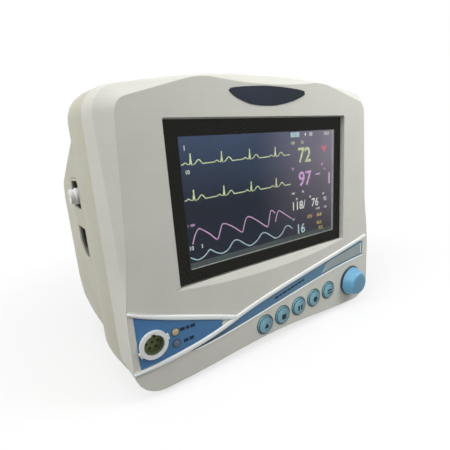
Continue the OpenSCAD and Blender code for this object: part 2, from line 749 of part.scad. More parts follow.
module ecg_insert() color("#46552f") place() difference() {
  union() {
    rod([ecg_x, ecg_v], 2.5, 11, ecg_bore - 2 * fit_gap);
    rod([ecg_x, ecg_v], 10, 12, ecg_d - 3);
  }
  for (p = pin_at()) rod(p, 0, 13, 1.8);
}
function pin_at() =
  concat([[ecg_x, ecg_v]], [for (a = [0:60:300]) [ecg_x + 4.2 * cos(a), ecg_v + 4.2 * sin(a)]]);

module ecg_pins() color("#c9a94e") place() for (p = pin_at()) {
  rod(p, 1, 16, 1.2);
  rod(p, 12, 12.8, 2.6);
}

module ecg_nut() color("#3a3c3e") place() difference() {
  rod([ecg_x, ecg_v], wall, wall + 3, ecg_d + 0.6);
  rod([ecg_x, ecg_v], wall - 1, wall + 4, ecg_d - 2.4);
}

module lamp(v) place() turned([lamp_x, v]) {
  r = lamp_d / 2;
  polygon(
    concat(
      [[0, -wall - 3], [r + 0.5, -wall - 3], [r + 0.5, -wall - 2], [r, -wall - 2]],
      [for (a = [0:15:90]) [r * cos(a), 0.2 + 1.2 * sin(a)]]
    )
  );
}
module power_lamp() color("#e8a24a") lamp(lamp_v[0]);
module battery_lamp() color("#9aa4ac") lamp(lamp_v[1]);

module lamp_board() color("#2f6a45") place() difference() {
  translate([lamp_x + 4.5, 0, -91.5]) slab(wall + 3, wall + 3 + board_t) plate(16, 24, 1.5);
  for (p = lamp_posts) rod(p, wall, wall + 6, 2.6);
}

// Moulded tub of the side bay: two pockets with a ledge between them
module bay_2d(t) polygon(
  rounded(
    [
      [bay_w0 + t, bay_bottom + t], [bay_w1 - t, bay_bottom + t],
      [bay_w1 - t, bay_top - t], [bay_w0 + t, bay_top - t]
    ],
    [3, 14 - t, 8 - t, 3],
    6
  )
);
module bay_pocket(v0, v1) intersection() {
  slab_x(-side_x - 1, -bay_floor) bay_2d(tub_wall);
  block(-side_x - 2, 0, bay_w0, bay_w1, v0, v1);
}
module bay_tub() color("#57595a") place() difference() {
  intersection() {
    slab_x(-side_x - 1, -bay_floor + tub_wall) bay_2d(fit_gap);
    rear_outer();
  }
  bay_pocket(ledge_top, bay_top);
  bay_pocket(bay_bottom, ledge_bottom);
  rod_x(port_w, port_v, -half, 0, 8);
  block(-half, 0, sock_w - 7.7, sock_w + 7.7, sock_v - 6.5, sock_v + 6.5);
}

module pressure_port() color("#d4d5d2") place() difference() {
  union() {
    rod_x(port_w, port_v, -bay_floor - 3, -bay_floor, 16);
    rod_x(port_w, port_v, -side_x - port_out, -bay_floor - 2, port_d);
    rod_x(port_w, port_v, -side_x - port_out + 4, -side_x - port_out + 7, port_d + 1.6);
    rod_x(port_w, port_v, -bay_floor - 1, -bay_floor + port_tail, 7.4);
  }
  rod_x(port_w, port_v, -side_x - port_out - 1, -bay_floor + port_tail + 1, 4);
}

module oxygen_socket() color("#2d3033") place() difference() {
  union() {
    block(-bay_floor - 2, -bay_floor, sock_w - 8.6, sock_w + 8.6, sock_v - 7.4, sock_v + 7.4);
    block(-bay_floor - 10, -bay_floor + 6, sock_w - 7.4, sock_w + 7.4, sock_v - 6.2, sock_v + 6.2);
  }
  block(-bay_floor - 11, -bay_floor - 3, sock_w - 5.8, sock_w + 5.8, sock_v - 4.6, sock_v + 4.6);
}

module parameter_board() color("#2f6a45") place() difference() {
  union() {
    block(-bay_floor + 6, -bay_floor + 6 + board_t, bay_w0 + 2, bay_w1 + 4, bay_bottom + 2, bay_top - 2);
    block(-bay_floor + 7, -bay_floor + 10, bay_w0 + 8, bay_w0 + 20, -18, -6);
  }
  rod_x(port_w, port_v, -bay_floor, -bay_floor + 12, 9.4);
}

module chassis_tray() color("#b4b7ba") place() difference() {
  union() {
    block(-tray_half, tray_half, tray_w0, tray_w1, tray_v, tray_v + tray_t);
    block(-tray_half, tray_half, tray_w0, tray_w0 + tray_t, tray_v, tray_v + 9);
    for (p = power_posts) rod_v(p[0], p[1], tray_v + 0.5, tray_v + 7, 6);
  }
  sides() for (p = posts) rod_v(p[0], p[1], tray_v - 1, tray_v + 3, 3.6);
  for (p = power_posts) rod_v(p[0], p[1], tray_v + 2, tray_v + 8, 2.6);
}

module power_board() color("#35604a") place() difference() {
  base = tray_v + 7;
  translate([power_x, 0, base]) {
    block(0, 90, 40, 96, 0, board_t);
    block(12, 44, 50, 80, 1, 26);
    for (i = [0:2]) rod_v(56 + 11 * i, 50, 1, 22, 10);
    for (i = [0:5]) block(54 + 5 * i, 55.6 + 5 * i, 62, 84, 4, 26);
    block(52, 82, 62, 84, 1, 5);
    block(16, 52, 86, 95, 1, 11);
  }
  for (p = power_posts) rod_v(p[0], p[1], base - 1, base + 3, 2.6);
}

module pump_saddle() color("#8a8d91") place() difference() {
  base = tray_v + tray_t;
  union() {
    block(tube_x - 1, tube_x + 55, pump_w - 17, pump_w + 17, base, base + 1.6);
    block(tube_x + 25, tube_x + 39, pump_w - 15, pump_w + 15, base + 1, base + 15);
  }
  rod_x(pump_w, base + 20, tube_x + 24, tube_x + 40, 24 + 2 * fit_gap);
}

// Motor, its shaft end, and the pump head with its nipple under the tube
module pump() color("#3b3f45") place() {
  mid = tray_v + tray_t + 20;
  rod_x(pump_w, mid, tube_x + 19, tube_x + 63, 24);
  rod_x(pump_w, mid, tube_x + 62.9, tube_x + 67, 8);
  difference() {
    block(tube_x - 9, tube_x + 19, pump_w - 13, pump_w + 13, tray_v + tray_t + 3, mid + 14);
    for (i = [-10, 10]) rod_x(pump_w + i, mid + 11, tube_x - 10, tube_x - 5, 2.6);
  }
  rod_v(tube_x, pump_w, mid + 13, mid + 22, 5);
}

module pressure_valve() color("#5d6167") place() {
  base = tray_v + tray_t;
  block(-30, -8, 84, 100, base, base + 16);
  rod_v(-19, 92, base + 15, base + 22, 5);
  rod_v(-26, 92, base + 15, base + 19, 3);
}

// Silicone tube from the pump nipple up, back and out to the blood-pressure port
module air_tube() color("#c8cdd0") place() difference() {
  tube_path(7, 0);
  tube_path(4, 1);
}
module tube_path(d, over) {
  base = tray_v + tray_t + 42;
  low_w = pump_w + tube_turn;
  rod_v(tube_x, pump_w, base - over, port_v - tube_turn, d);
  translate([tube_x, low_w, port_v - tube_turn]) rotate([90, 0, -90]) elbow(d);
  rod([tube_x, port_v], low_w, port_w - tube_turn, d);
  translate([tube_x - tube_turn, port_w - tube_turn, port_v]) elbow(d);
  rod_x(port_w, port_v, tube_x - tube_turn - 1 - over, tube_x - tube_turn, d);
}
module elbow(d) rotate_extrude(angle = 90) translate([tube_turn, 0]) circle(d = d);

module speaker() color("#2b2d30") place() {
  rod([speaker_x, rear_v], rear_in - 3, rear_in, speaker_d);
  rod([speaker_x, rear_v], rear_in - 12, rear_in - 2, speaker_d - 12);
  rod([speaker_x, rear_v], rear_in - 18, rear_in - 11, speaker_d - 18);
}

module mains_inlet() color("#1d1e20") place() translate([inlet_x, 0, rear_v]) difference() {
  union() {
    slab(rear_w - 17, rear_w + 1) square([27.4, 20], center = true);
    slab(rear_w, rear_w + 2) plate(33, 25, 3);
  }
  slab(rear_w - 14, rear_w + 3) difference() {
    square([24, 16.4], center = true);
    for (i = [-1, 1]) translate([12 * i, 8.2]) rotate(45) square(6, center = true);
  }
  for (i = [-1:1])
    translate([7 * i, 0, i == 0 ? 2.4 : -2]) slab(rear_w - 18, rear_w) square([2.6, 4.6], center = true);
}

module mains_pins() color("#c2c4c6") place() translate([inlet_x, 0, rear_v]) for (i = [-1:1])
  translate([7 * i, 0, i == 0 ? 2.4 : -2]) {
    slab(rear_w - 22, rear_w - 3) square([2, 4], center = true);
    slab(rear_w - 19, rear_w - 17) square([4, 6], center = true);
  }

module ground_stud() color("#b9bcc0") place() {
  rod([stud_x, rear_v], rear_in - 6, rear_w + stud_out, 6);
  rod([stud_x, rear_v], rear_w, rear_w + 3, 12, $fn = 6);
  rod([stud_x, rear_v], rear_in - 4, rear_in, 11, $fn = 6);
}

module network_jack() color("#3b3d40") place() translate([jack_x, 0, rear_v]) difference() {
  union() {
    slab(rear_w - 16, rear_w + 1) square([16, 14], center = true);
    slab(rear_w, rear_w + 1) square([18.6, 16.6], center = true);
    slab(rear_in - 2, rear_in) square([18.6, 16.6], center = true);
  }
  slab(rear_w - 12, rear_w + 2) square([11.8, 6.8], center = true);
  translate([0, 0, -4.4]) slab(rear_w - 12, rear_w + 2) square([6, 4], center = true);
}

module battery_pack() color("#3d4652") place() difference() {
  front = battery_mid_w - battery_w / 2;
  low = base_v + door_t;
  block(-battery_l / 2, battery_l / 2, front, front + battery_w, low, low + battery_h);
  for (i = [-2:2])
    block(i * 6 - 1.5, i * 6 + 1.5, front - 1, front + 2, low + 16, low + 24);
}

module battery_door() color(shell_c) place() difference() {
  block(
    -door_l / 2 + fit_gap, door_l / 2 - fit_gap,
    door_w0 + fit_gap, door_w0 + door_wd - fit_gap,
    base_v, base_v + door_t
  );
  sides() rod_v(door_l / 2 - 3, battery_mid_w, base_v - 1, base_v + 3, 2.8);
  for (i = [-2:2])
    block(-12, 12, battery_mid_w + 4 * i - 0.8, battery_mid_w + 4 * i + 0.8, base_v - 1, base_v + 0.6);
}

// Case screws, tray screws and brass stand inserts
module fasteners() color("#8a8d91") place() {
  sides() for (p = case_bosses) translate([p[0], 0, p[1]]) screw(parting_w + 14, shank_d, head_d, 26);
  sides() for (p = posts) {
    rod_v(p[0], p[1], tray_v - 8, tray_v + tray_t + eps, 2.4);
    rod_v(p[0], p[1], tray_v + tray_t, tray_v + tray_t + 1.8, 6);
  }
  sides() for (s = [-1, 1]) difference() {
    union() {
      rod_v(stand_x / 2, battery_mid_w + s * stand_w / 2, base_v + 0.5, floor_v + 7, 6.5);
      rod_v(stand_x / 2, battery_mid_w + s * stand_w / 2, base_v, base_v + 1, 8.4);
    }
    rod_v(stand_x / 2, battery_mid_w + s * stand_w / 2, base_v - 1, floor_v + 8, stand_hole);
  }
}

module feet() color("#2a2b2c") place() sides() for (p = feet_at) {
  rod_v(p[0], p[1], -foot_drop, base_v, foot_d);
  rod_v(p[0], p[1], base_v - eps, floor_v, 5.4);
}

front_shell();
rear_shell();
window_glass();
window_gasket();
lcd_panel();
lcd_module();
lcd_bracket();
lcd_screws();
main_board();
board_standoffs();
board_screws();
badge_plate();
corner_overlay();
stripe_overlay();
alarm_lens();
panel_board();
panel_screws();
key_switches();
key_1();
key_2();
key_3();
key_4();
key_5();
plunger_1();
plunger_2();
plunger_3();
plunger_4();
plunger_5();
knob();
encoder_shaft();
encoder_push();
encoder_body();
encoder_nut();
ecg_collar();
ecg_insert();
ecg_pins();
ecg_nut();
power_lamp();
battery_lamp();
lamp_board();
bay_tub();
pressure_port();
oxygen_socket();
parameter_board();
pump();
pump_saddle();
pressure_valve();
air_tube();
chassis_tray();
power_board();
speaker();
mains_inlet();
mains_pins();
ground_stud();
network_jack();
battery_pack();
battery_door();
fasteners();
feet();
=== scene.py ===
import json
import math

import bpy
from mathutils import Matrix, Vector
from mathutils.bvhtree import BVHTree


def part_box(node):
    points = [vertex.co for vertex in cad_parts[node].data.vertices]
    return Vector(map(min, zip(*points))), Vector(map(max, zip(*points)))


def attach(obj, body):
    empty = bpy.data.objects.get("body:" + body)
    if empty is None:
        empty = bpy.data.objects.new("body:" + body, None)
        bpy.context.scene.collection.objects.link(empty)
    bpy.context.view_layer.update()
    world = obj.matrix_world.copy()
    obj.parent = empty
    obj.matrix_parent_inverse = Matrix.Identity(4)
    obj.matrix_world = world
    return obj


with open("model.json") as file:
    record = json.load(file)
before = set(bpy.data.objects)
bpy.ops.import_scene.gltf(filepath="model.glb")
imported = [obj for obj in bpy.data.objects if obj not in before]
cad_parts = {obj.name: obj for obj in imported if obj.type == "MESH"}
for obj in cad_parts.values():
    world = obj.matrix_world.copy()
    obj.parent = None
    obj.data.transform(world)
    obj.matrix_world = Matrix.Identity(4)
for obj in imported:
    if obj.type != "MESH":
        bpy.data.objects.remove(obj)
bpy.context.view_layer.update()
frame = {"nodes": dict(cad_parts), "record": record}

nodes = frame["nodes"]
scene = bpy.context.scene

MM = 0.001
# Depth of the cover glass behind the face, in mm
GLASS_RECESS = 3.0
glass_low, glass_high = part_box("window_glass")
FACE_Y = glass_low.y - GLASS_RECESS * MM
DISP_Z = (glass_low.z + glass_high.z) / 2


def at(x, w, v):
    """Point from millimetres across, behind the face and over the middle of the glass."""
    return Vector((x * MM, FACE_Y + w * MM, DISP_Z + v * MM))


# Shading of the CAD meshes: welded, and smooth up to an angle in degrees

WELD_MM = 0.002
CRISP_ANGLE = 22
SOFT_ANGLE = 34
CRISP_NODES = ("front_shell", "rear_shell", "bay_tub", "battery_door")


def soften_group(name, degrees):
    group = bpy.data.node_groups.new(name, "GeometryNodeTree")
    for way in ("INPUT", "OUTPUT"):
        group.interface.new_socket("Geometry", in_out=way, socket_type="NodeSocketGeometry")
    made, link = group.nodes.new, group.links.new
    start, end = made("NodeGroupInput"), made("NodeGroupOutput")
    drop = made("GeometryNodeRemoveAttribute")
    drop.inputs["Name"].default_value = "custom_normal"
    weld = made("GeometryNodeMergeByDistance")
    weld.inputs["Distance"].default_value = WELD_MM * MM
    faces = made("GeometryNodeSetShadeSmooth")
    faces.domain = "FACE"
    edges = made("GeometryNodeSetShadeSmooth")
    edges.domain = "EDGE"
    edges.inputs["Shade Smooth"].default_value = False
    angle = made("GeometryNodeInputMeshEdgeAngle")
    over = made("FunctionNodeCompare")
    over.data_type = "FLOAT"
    over.operation = "GREATER_THAN"
    over.inputs["B"].default_value = math.radians(degrees)
    link(start.outputs[0], drop.inputs["Geometry"])
    link(drop.outputs["Geometry"], weld.inputs["Geometry"])
    link(weld.outputs["Geometry"], faces.inputs["Geometry"])
    link(faces.outputs["Geometry"], edges.inputs["Geometry"])
    link(angle.outputs["Unsigned Angle"], over.inputs["A"])
    link(over.outputs["Result"], edges.inputs["Selection"])
    link(edges.outputs["Geometry"], end.inputs[0])
    return group


crisp = soften_group("crisp_edges", CRISP_ANGLE)
soft = soften_group("soft_edges", SOFT_ANGLE)
for name, node in nodes.items():
    node.modifiers.new("edges", "NODES").node_group = crisp if name in CRISP_NODES else soft


# Materials. Colours are sRGB, 0 to 255.

def linear(rgb):
    return [c / 12.92 if c <= 0.04045 else ((c + 0.055) / 1.055) ** 2.4 for c in (v / 255 for v in rgb)]


def shade(rgb, k):
    return [min(255, v * k) for v in rgb]


class Mat:
    """A node material around one Principled shader, with small helpers to wire it."""

    def __init__(self, name):
        self.mat = bpy.data.materials.new(name)
        self.mat.use_nodes = True
        self.tree = self.mat.node_tree
        self.shader = self.tree.nodes["Principled BSDF"]
        self.coord = self.add("ShaderNodeTexCoord")

    def add(self, kind, **inputs):
        node = self.tree.nodes.new(kind)
        for key, value in inputs.items():
            node.inputs[key.replace("_", " ")].default_value = value
        return node

    def link(self, a, b):
        self.tree.links.new(a, b)

    def noise(self, size_mm, detail=3.0, stretch=(1, 1, 1)):
        mapping = self.add("ShaderNodeMapping", Scale=[s / (size_mm * MM) for s in stretch])
        self.link(self.coord.outputs["Object"], mapping.inputs["Vector"])
        tex = self.add("ShaderNodeTexNoise", Scale=1.0, Detail=detail, Roughness=0.6)
        self.link(mapping.outputs["Vector"], tex.inputs["Vector"])
        return tex.outputs["Fac"]

    def axis(self, letter, space="Object"):
        split = self.add("ShaderNodeSeparateXYZ")
        self.link(self.coord.outputs[space], split.inputs[0])
        return split.outputs[letter]

    def ramp(self, fac, low, high, start=0.3, stop=0.7):
        node = self.add("ShaderNodeMapRange", From_Min=start, From_Max=stop, To_Min=low, To_Max=high)
        self.link(fac, node.inputs["Value"])
        return node.outputs["Result"]

    def blend(self, fac, a, b):
        node = self.add("ShaderNodeMix")
        node.data_type = "RGBA"
        self.link(fac, node.inputs["Factor"])
        for socket, value in ((node.inputs[6], a), (node.inputs[7], b)):
            if isinstance(value, bpy.types.NodeSocket):
                self.link(value, socket)
            else:
                socket.default_value = (*linear(value), 1)
        return node.outputs[2]

    def paint(self, colour, socket="Base Color"):
        self.link(colour, self.shader.inputs[socket])

    def band(self, letter, start, stop, rgb, space="Object"):
        """Blend a further tone into the colour where an axis runs from start to stop."""
        colour = self.shader.inputs["Base Color"].links[0].from_socket
        self.paint(self.blend(self.ramp(self.axis(letter, space), 0, 1, start, stop), colour, rgb))

    def bump(self, height, strength, distance_mm, edge_mm=0):
        node = self.add("ShaderNodeBump", Strength=strength, Distance=distance_mm * MM)
        self.link(height, node.inputs["Height"])
        if edge_mm:
            bevel = self.add("ShaderNodeBevel", Radius=edge_mm * MM)
            bevel.samples = 4
            self.link(bevel.outputs["Normal"], node.inputs["Normal"])
        self.link(node.outputs["Normal"], self.shader.inputs["Normal"])

    def set(self, **values):
        for key, value in values.items():
            self.shader.inputs[key.replace("_", " ")].default_value = value
        return self


def moulded(name, rgb, rough, grain, depth, tone, edge=0.0, streak=0.0, **extra):
    """Moulded plastic or rubber: tonal drift, fine grain, and optional faint streaks."""
    m = Mat(name)
    drift = m.ramp(m.noise(38, 4), 0, 1)
    colour = m.blend(drift, shade(rgb, 1 - tone), shade(rgb, 1 + tone / 2))
    if streak:
        lines = m.ramp(m.noise(1.6, 2, (0.02, 0.02, 1)), 0, streak, 0.45, 0.75)
        colour = m.blend(lines, colour, shade(rgb, 0.86))
    m.paint(colour)
    fine = m.noise(grain, 2)
    m.paint(m.ramp(fine, rough - 0.06, rough + 0.06), "Roughness")
    m.bump(fine, depth, 0.05, edge)
    return m.set(**extra)


def metal(name, rgb, rough):
    """Plated or brushed metal: directional scratches and patchy roughness."""
    m = Mat(name)
    m.paint(m.blend(m.ramp(m.noise(14, 3), 0, 1), shade(rgb, 0.9), rgb))
    fine = m.noise(0.5, 3, (1, 1, 0.06))
    m.paint(m.ramp(fine, rough - 0.1, rough + 0.12), "Roughness")
    m.bump(fine, 0.08, 0.03)
    return m.set(Metallic=1.0)


def circuit(name, rgb):
    """Solder mask with faint traces."""
    m = Mat(name)
    tracks = m.ramp(m.noise(1.1, 1, (1, 1, 0.18)), 0, 1, 0.5, 0.56)
    m.paint(m.blend(tracks, rgb, shade(rgb, 1.35)))
    m.bump(tracks, 0.2, 0.03)
    return m.set(Roughness=0.38)


def glow(name, rgb, dim=0.8):
    """A lit picture element with a slight unevenness."""
    m = Mat(name)
    m.paint(m.blend(m.ramp(m.noise(2.4, 2), 0, 1), shade(rgb, dim), rgb), "Emission Color")
    return m.set(Base_Color=(0, 0, 0, 1), Roughness=0.6, Specular_IOR_Level=0.0, Emission_Strength=1.0)


def film(name, near, far, x0, x1):
    """Printed satin film whose tone drifts along the panel."""
    m = Mat(name)
    colour = m.blend(m.ramp(m.axis("X"), 0, 1, x0 * MM, x1 * MM), near, far)
    m.paint(m.blend(m.ramp(m.noise(1.1, 3), 0, 0.3), colour, shade(near, 0.86)))
    fine = m.noise(0.4, 2)
    m.paint(m.ramp(fine, 0.3, 0.42), "Roughness")
    m.bump(fine, 0.05, 0.04, 0.3)
    return m.set(Specular_IOR_Level=0.3)


def lamp_dome(name, rgb, strength):
    """Smooth moulded dome of an indicator lamp."""
    m = Mat(name)
    colour = m.blend(m.ramp(m.noise(1.5, 2), 0, 1), shade(rgb, 0.92), shade(rgb, 1.05))
    m.paint(colour)
    m.paint(colour, "Emission Color")
    return m.set(Roughness=0.2, Emission_Strength=strength)


def shaded_pocket(name, outer):
    """Tub of the side bay: the shell's tone outside; inside, a painted highlight at the mouth, painted
    light low down on the floor, and painted shade further in.
    """
    m = Mat(name)
    x, z = m.axis("X"), m.axis("Z")
    # Painted light on the floor of the bay, below this height
    low = m.ramp(z, 1, 0, DISP_Z - 35 * MM, DISP_Z - 33 * MM)
    # Painted highlight on the edge of the mouth
    lit_mouth = m.ramp(x, 1, 0, -131.6 * MM, -131.0 * MM)
    outside = m.ramp(x, 1, 0, -132.6 * MM, -132.4 * MM)
    # Painted shade deep inside the bay
    inner = m.blend(m.ramp(m.noise(0.6, 2), 0, 1), (40, 41, 41), (50, 51, 51))
    inner = m.blend(low, inner, (112, 114, 110))
    inner = m.blend(lit_mouth, inner, (120, 122, 118))
    m.paint(m.blend(outside, inner, outer))
    m.bump(m.noise(0.5, 2), 0.12, 0.05)
    return m.set(Roughness=0.55, Specular_IOR_Level=0.3)


def clear_glass(name):
    m = Mat(name)
    m.paint(m.ramp(m.noise(9, 3), 0.0, 0.02), "Roughness")
    return m.set(Base_Color=(1, 1, 1, 1), Transmission_Weight=1.0, IOR=1.1)


def lit_panel(name):
    """Display: blue at the upper left, dark in the middle and below, pale violet at the upper right."""
    m = Mat(name)
    across = m.ramp(m.axis("X"), 0, 1, -12 * MM, 76 * MM)
    left_up = m.ramp(m.axis("Z"), 0, 1, DISP_Z - 4 * MM, DISP_Z + 48 * MM)
    right_up = m.ramp(m.axis("Z"), 0, 1, DISP_Z - 44 * MM, DISP_Z + 44 * MM)
    left = m.blend(left_up, (38, 45, 54), (66, 80, 104))
    right = m.blend(right_up, (64, 62, 68), (140, 132, 146))
    cloud = m.ramp(m.noise(40, 3), 0, 0.3, 0.35, 0.75)
    m.paint(m.blend(cloud, m.blend(across, left, right), (50, 44, 54)), "Emission Color")
    return m.set(Base_Color=(0, 0, 0, 1), Roughness=0.4, Specular_IOR_Level=0.0, Emission_Strength=1.0)


REAR = (196, 194, 176)
SHELL_FINISH = dict(edge=0.9, streak=0.1, Specular_IOR_Level=0.35)
PRINT_FINISH = dict(Specular_IOR_Level=0.2)
# Name, colour, roughness, grain in mm, depth of the grain, drift of tone, and what else differs
MOULDED = (
    ("shell", (212, 212, 203), 0.5, 0.45, 0.1, 0.02, SHELL_FINISH),
    ("rear", REAR, 0.52, 0.45, 0.12, 0.03, SHELL_FINISH),
    ("ridge", (238, 241, 239), 0.4, 0.45, 0.08, 0.02, {}),
    ("foam", (34, 34, 36), 0.9, 0.8, 0.5, 0.05, {}),
    ("navy", (46, 54, 68), 0.45, 0.6, 0.05, 0.12, dict(edge=0.3, Specular_IOR_Level=0.08)),
    ("lens", (160, 172, 173), 0.38, 0.7, 0.12, 0.06, dict(edge=0.3)),
    ("dark", (40, 41, 43), 0.5, 0.5, 0.12, 0.1, {}),
    ("key", (126, 178, 192), 0.4, 0.5, 0.08, 0.06, dict(edge=0.3)),
    ("nylon", (222, 221, 215), 0.5, 0.6, 0.1, 0.05, {}),
    ("knob", (108, 172, 208), 0.4, 0.5, 0.1, 0.07, dict(edge=0.35)),
    ("white", (228, 232, 230), 0.36, 0.5, 0.06, 0.04, dict(edge=0.3)),
    ("green", (98, 114, 66), 0.5, 0.5, 0.12, 0.12, {}),
    ("olive", (88, 98, 74), 0.5, 0.5, 0.1, 0.1, {}),
    ("port", (246, 246, 243), 0.38, 0.5, 0.06, 0.04, dict(edge=0.3)),
    ("silicone", (206, 210, 210), 0.42, 0.7, 0.08, 0.05, dict(Subsurface_Weight=0.1)),
    ("battery", (56, 64, 76), 0.42, 0.8, 0.12, 0.1, {}),
    ("rubber", (30, 30, 31), 0.85, 0.5, 0.35, 0.1, {}),
    ("mark", (16, 34, 54), 0.5, 0.5, 0.05, 0.1, PRINT_FINISH),
    ("icon", (26, 44, 54), 0.5, 0.5, 0.05, 0.1, PRINT_FINISH),
    # Colour of the dark rings of painted shade round and on the key caps
    ("rim", (44, 74, 84), 0.5, 0.5, 0.06, 0.1, {}),
    ("lamp_rim", (70, 92, 104), 0.5, 0.5, 0.06, 0.1, {}),
)
GLOWS = {
    "green": (208, 222, 174), "pink": (212, 172, 214), "cyan": (184, 210, 216), "white": (226, 226, 222),
    "yellow": (222, 190, 116), "red": (218, 122, 142), "grey": (164, 168, 160),
}

mats = {name: moulded(name, *look, **extra) for name, *look, extra in MOULDED}
mats.update(("glow_" + tag, glow("glow_" + tag, rgb)) for tag, rgb in GLOWS.items())
mats.update({
    "glow_strip": glow("glow_strip", (76, 84, 84), 0.86),
    # The black print of the glass border glows faintly: painted light for the level it shows when lit
    # behind the glass.
    "glowing_ink": glow("glowing_ink", (35, 35, 32), 0.9),
    "panel": film("panel", (68, 120, 170), (74, 124, 170), -122, -60),
    "stripe": film("stripe", (84, 124, 160), (94, 136, 156), -40, 90),
    "steel": metal("steel", (178, 180, 183), 0.32),
    "brass": metal("brass", (205, 170, 96), 0.28),
    "bronze": metal("bronze", (92, 84, 56), 0.45),
    "board": circuit("board", (36, 92, 58)),
    "tub": shaded_pocket("tub", REAR),
    "amber": lamp_dome("amber", (176, 158, 124), 0.06),
    "grey_lamp": lamp_dome("grey_lamp", (82, 98, 126), 0.0),
    "glass": clear_glass("glass"),
    "screen": lit_panel("screen"),
})
mats["navy"].band("X", -20 * MM, 30 * MM, (36, 42, 50))
# Painted shadow under the ridge: the stripe darker towards its left tip.
mats["stripe"].band("X", -38 * MM, -74 * MM, (38, 54, 68))
# Painted shade: each key cap darker towards its right side.
mats["key"].band("X", 0.3, 0.72, (88, 130, 144), "Generated")
# Painted shade on the knob: a dark foot where its skirt lies in shadow, and a darker front face.
mats["knob"].band("Y", FACE_Y - 2.2 * MM, FACE_Y - 1.7 * MM, (46, 70, 86))
mats["knob"].band("Y", FACE_Y - 10.6 * MM, FACE_Y - 11.8 * MM, (84, 136, 166))

# Nodes whose finish differs from that of their slot
FINISH = {
    "rear_shell": "rear", "battery_door": "rear", "corner_overlay": "panel",
    "stripe_overlay": "stripe", "ecg_pins": "bronze",
}
for row in frame["record"]["subparts"]:
    part = nodes[row["node"]]
    part.data.materials.clear()
    part.data.materials.append(mats[FINISH.get(row["node"], row["material_slot"])].mat)


# Pieces of the scene

def piece(name, verts, faces, mat, slot, body="housing", smooth=False):
    mesh = bpy.data.meshes.new(name)
    mesh.from_pydata(verts, [], faces)
    mesh.validate()
    mesh.update()
    mesh.materials.append(mats[mat].mat)
    for p in mesh.polygons:
        p.use_smooth = smooth
    made = bpy.data.objects.new(name, mesh)
    scene.collection.objects.link(made)
    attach(made, body)
    return made


def thicken(made, thick_mm, offset):
    solid = made.modifiers.new("thick", "SOLIDIFY")
    solid.thickness = thick_mm * MM
    solid.offset = offset


class Print:
    """Flat shapes in millimetres on a plane behind the face, gathered into one thin piece."""

    # Outline added to the digits of the plain font, to make them bolder
    BOLD = 0.016

    def __init__(self):
        self.points, self.faces = [], []

    def polygon(self, points):
        base = len(self.points)
        self.points += [tuple(p) for p in points]
        self.faces.append([base + i for i in range(len(points))])

    def rect(self, x0, v0, x1, v1):
        self.polygon([(x0, v0), (x1, v0), (x1, v1), (x0, v1)])

    def line(self, path, width):
        base = len(self.points)
        for i, p in enumerate(path):
            a = Vector(path[max(i - 1, 0)])
            b = Vector(path[min(i + 1, len(path) - 1)])
            d = (b - a).normalized()
            n = Vector((-d.y, d.x)) * width / 2
            self.points += [tuple(Vector(p) + n), tuple(Vector(p) - n)]
        for k in range(base, base + 2 * len(path) - 2, 2):
            self.faces.append([k + 1, k + 3, k + 2, k])

    def annulus(self, x, v, inner, outer, n=48):
        base = len(self.points)
        for i in range(n):
            a = 2 * math.pi * i / n
            for r in (inner, outer):
                self.points.append((x + r * math.cos(a), v + r * math.sin(a)))
        for i in range(n):
            a, b = base + 2 * i, base + 2 * ((i + 1) % n)
            self.faces.append([a, a + 1, b + 1, b])

    def number(self, text, x, v, height, squeeze=0.92):
        """Plain digits with their lower left corner at x, v."""
        curve = bpy.data.curves.new("digits", "FONT")
        curve.body = text
        curve.resolution_u = 3
        curve.offset = self.BOLD
        temp = bpy.data.objects.new("digits", curve)
        scene.collection.objects.link(temp)
        bpy.context.view_layer.update()
        shown = temp.evaluated_get(bpy.context.evaluated_depsgraph_get())
        mesh = bpy.data.meshes.new_from_object(shown)
        top = max(p.co.y for p in mesh.vertices)
        low = min(p.co.x for p in mesh.vertices)
        k = height / top
        base = len(self.points)
        self.points += [(x + (p.co.x - low) * k * squeeze, v + p.co.y * k) for p in mesh.vertices]
        self.faces += [[base + i for i in f.vertices] for f in mesh.polygons]
        bpy.data.objects.remove(temp)
        bpy.data.curves.remove(curve)
        bpy.data.meshes.remove(mesh)

    def build(self, name, w, mat, slot, thick):
        made = piece(name, [at(x, w, v) for x, v in self.points], self.faces, mat, slot)
        thicken(made, thick, 1.0)


def bezier(a, b, c, d, n):
    a, b, c, d = (Vector(p) for p in (a, b, c, d))
    return [
        (1 - t) ** 3 * a + 3 * (1 - t) ** 2 * t * b + 3 * (1 - t) * t * t * c + t**3 * d
        for t in (i / n for i in range(n + 1))
    ]


def smooth_path(points, steps):
    """Catmull-Rom curve through points."""
    p = [Vector(q) for q in points]
    p = [2 * p[0] - p[1], *p, 2 * p[-1] - p[-2]]
    out = []
    for a, b, c, d in zip(p, p[1:], p[2:], p[3:]):
        for t in (s / steps for s in range(steps)):
            bend = (2 * a - 5 * b + 4 * c - d) * t * t + (3 * b - a - 3 * c + d) * t**3
            out.append(0.5 * (2 * b + (c - a) * t + bend))
    return [tuple(q) for q in [*out, p[-2]]]


def height_at(line, x):
    for a, b in zip(line, line[1:]):
        if a.x <= x <= b.x:
            return a.y + (b.y - a.y) * (x - a.x) / (b.x - a.x)


def middle(box):
    """Middle of a node's box, in millimetres across and over the middle of the glass."""
    low, high = box
    return (low.x + high.x) / 2 / MM, ((low.z + high.z) / 2 - DISP_Z) / MM


# Printed border of the glass, and the picture on the panel behind it.
# W is the depth of a layer behind the face, in mm.

